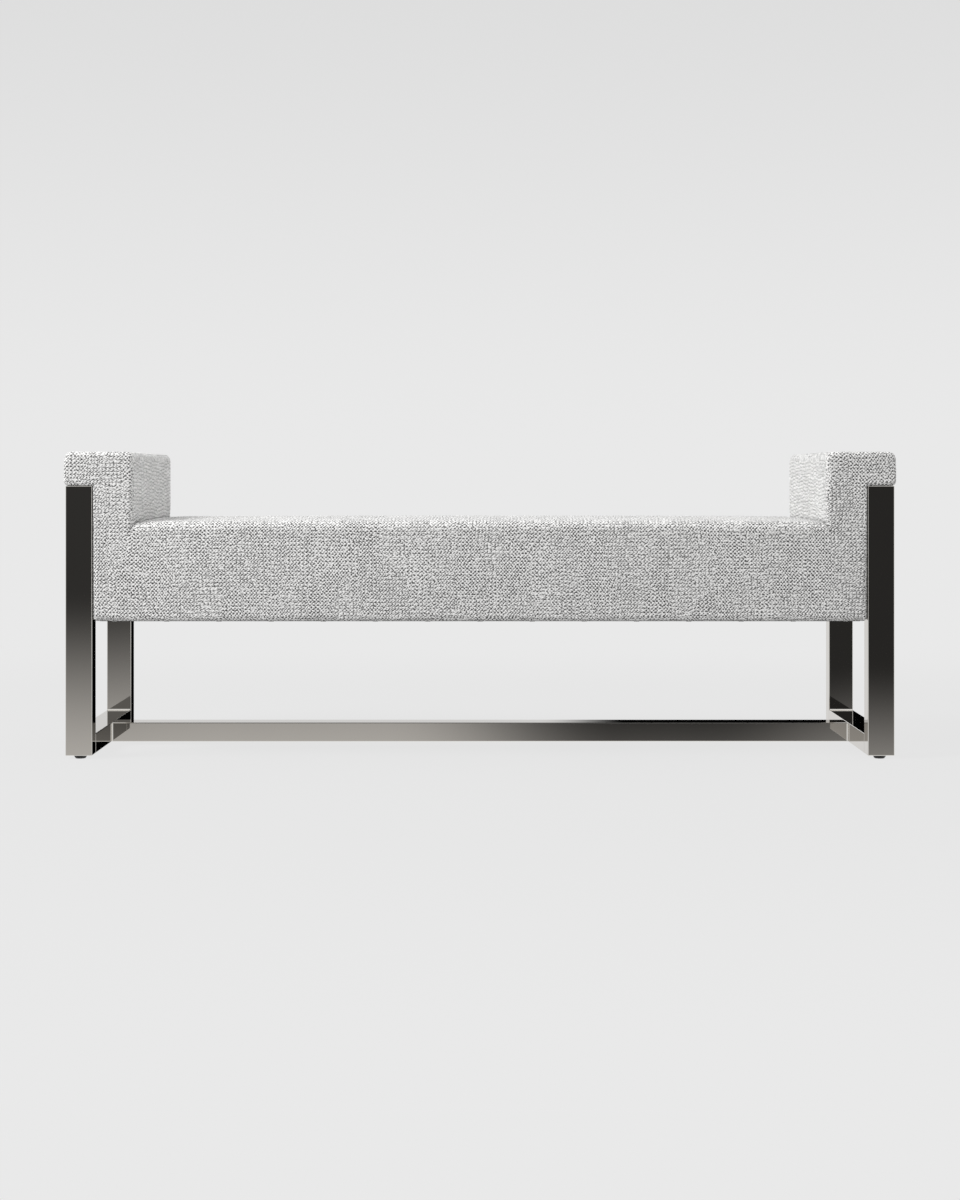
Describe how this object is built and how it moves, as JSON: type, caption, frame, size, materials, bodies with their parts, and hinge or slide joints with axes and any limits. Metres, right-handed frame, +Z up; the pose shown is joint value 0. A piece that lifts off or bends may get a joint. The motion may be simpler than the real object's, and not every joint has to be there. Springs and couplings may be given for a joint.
{
  "type": "upholstered bench",
  "caption": "Long padded bench with low block arms, covered in a chunky weave, on mirror-finished rectangular tube end frames joined by a low stretcher.",
  "frame": {"origin": "on the floor under the middle of the bench, with the glides screwed in", "axes": "+X along the bench to the sitter's left, seen from the front to the right; -Y is the front; +Z is up"},
  "size_m": [1.588, 0.47, 0.586],
  "materials": {
    "smoked_mirror_steel": "polished",
    "plain_steel": "satin",
    "spring_steel": "satin",
    "glide_nylon": "satin",
    "plug_plastic": "satin",
    "woven_cover": "matte",
    "upholstery_foam": "matte",
    "upholstery_wadding": "matte",
    "needle_felt": "matte",
    "dust_cloth": "matte",
    "hardwood": "matte",
    "plywood": "matte"
  },
  "bodies": {
    "bench": {"arm_bolt_washers": "plain_steel", "arm_bolts": "plain_steel", "arm_inserts": "plain_steel", "board_screws": "plain_steel", "centre_cross_brace": "hardwood", "cover": "woven_cover", "dust_cover": "dust_cloth", "dust_cover_staples": "plain_steel", "front_border_pad": "upholstery_wadding", "front_left_corner_block": "hardwood", "front_left_leg": "smoked_mirror_steel", "front_right_corner_block": "hardwood", "front_right_leg": "smoked_mirror_steel", "front_seat_rail": "hardwood", "glide_nuts": "plain_steel", "hole_plugs": "plug_plastic", "left_arm_board": "plywood", "left_arm_pad": "upholstery_foam", "left_arm_panel": "plywood", "left_arm_top_pad": "upholstery_foam", "left_cross_brace": "hardwood", "left_floor_rail": "smoked_mirror_steel", "left_side_pad": "upholstery_wadding", "left_top_rail": "smoked_mirror_steel", "leg_foot_plates": "plain_steel", "leg_top_caps": "plain_steel", "rail_screws": "plain_steel", "rail_welds": "smoked_mirror_steel", "rear_border_pad": "upholstery_wadding", "rear_left_corner_block": "hardwood", "rear_left_leg": "smoked_mirror_steel", "rear_right_corner_block": "hardwood", "rear_right_leg": "smoked_mirror_steel", "rear_seat_rail": "hardwood", "right_arm_board": "plywood", "right_arm_pad": "upholstery_foam", "right_arm_panel": "plywood", "right_arm_top_pad": "upholstery_foam", "right_cross_brace": "hardwood", "right_floor_rail": "smoked_mirror_steel", "right_side_pad": "upholstery_wadding", "right_top_rail": "smoked_mirror_steel", "seat_foam": "upholstery_foam", "seat_springs": "spring_steel", "spring_clips": "plain_steel", "spring_felt": "needle_felt", "stretcher": "smoked_mirror_steel", "stretcher_welds": "smoked_mirror_steel"},
    "front_left_glide": {"front_left_glide_base": "glide_nylon", "front_left_glide_stem": "plain_steel"},
    "front_right_glide": {"front_right_glide_base": "glide_nylon", "front_right_glide_stem": "plain_steel"},
    "rear_left_glide": {"rear_left_glide_base": "glide_nylon", "rear_left_glide_stem": "plain_steel"},
    "rear_right_glide": {"rear_right_glide_base": "glide_nylon", "rear_right_glide_stem": "plain_steel"}
  },
  "joints": [
    {"name": "front_left_glide_screw", "type": "slide", "parent": "bench", "child": "front_left_glide", "axis": [0, 0, -1], "range_m": [0, 0.01]},
    {"name": "front_right_glide_screw", "type": "slide", "parent": "bench", "child": "front_right_glide", "axis": [0, 0, -1], "range_m": [0, 0.01]},
    {"name": "rear_left_glide_screw", "type": "slide", "parent": "bench", "child": "rear_left_glide", "axis": [0, 0, -1], "range_m": [0, 0.01]},
    {"name": "rear_right_glide_screw", "type": "slide", "parent": "bench", "child": "rear_right_glide", "axis": [0, 0, -1], "range_m": [0, 0.01]}
  ]
}
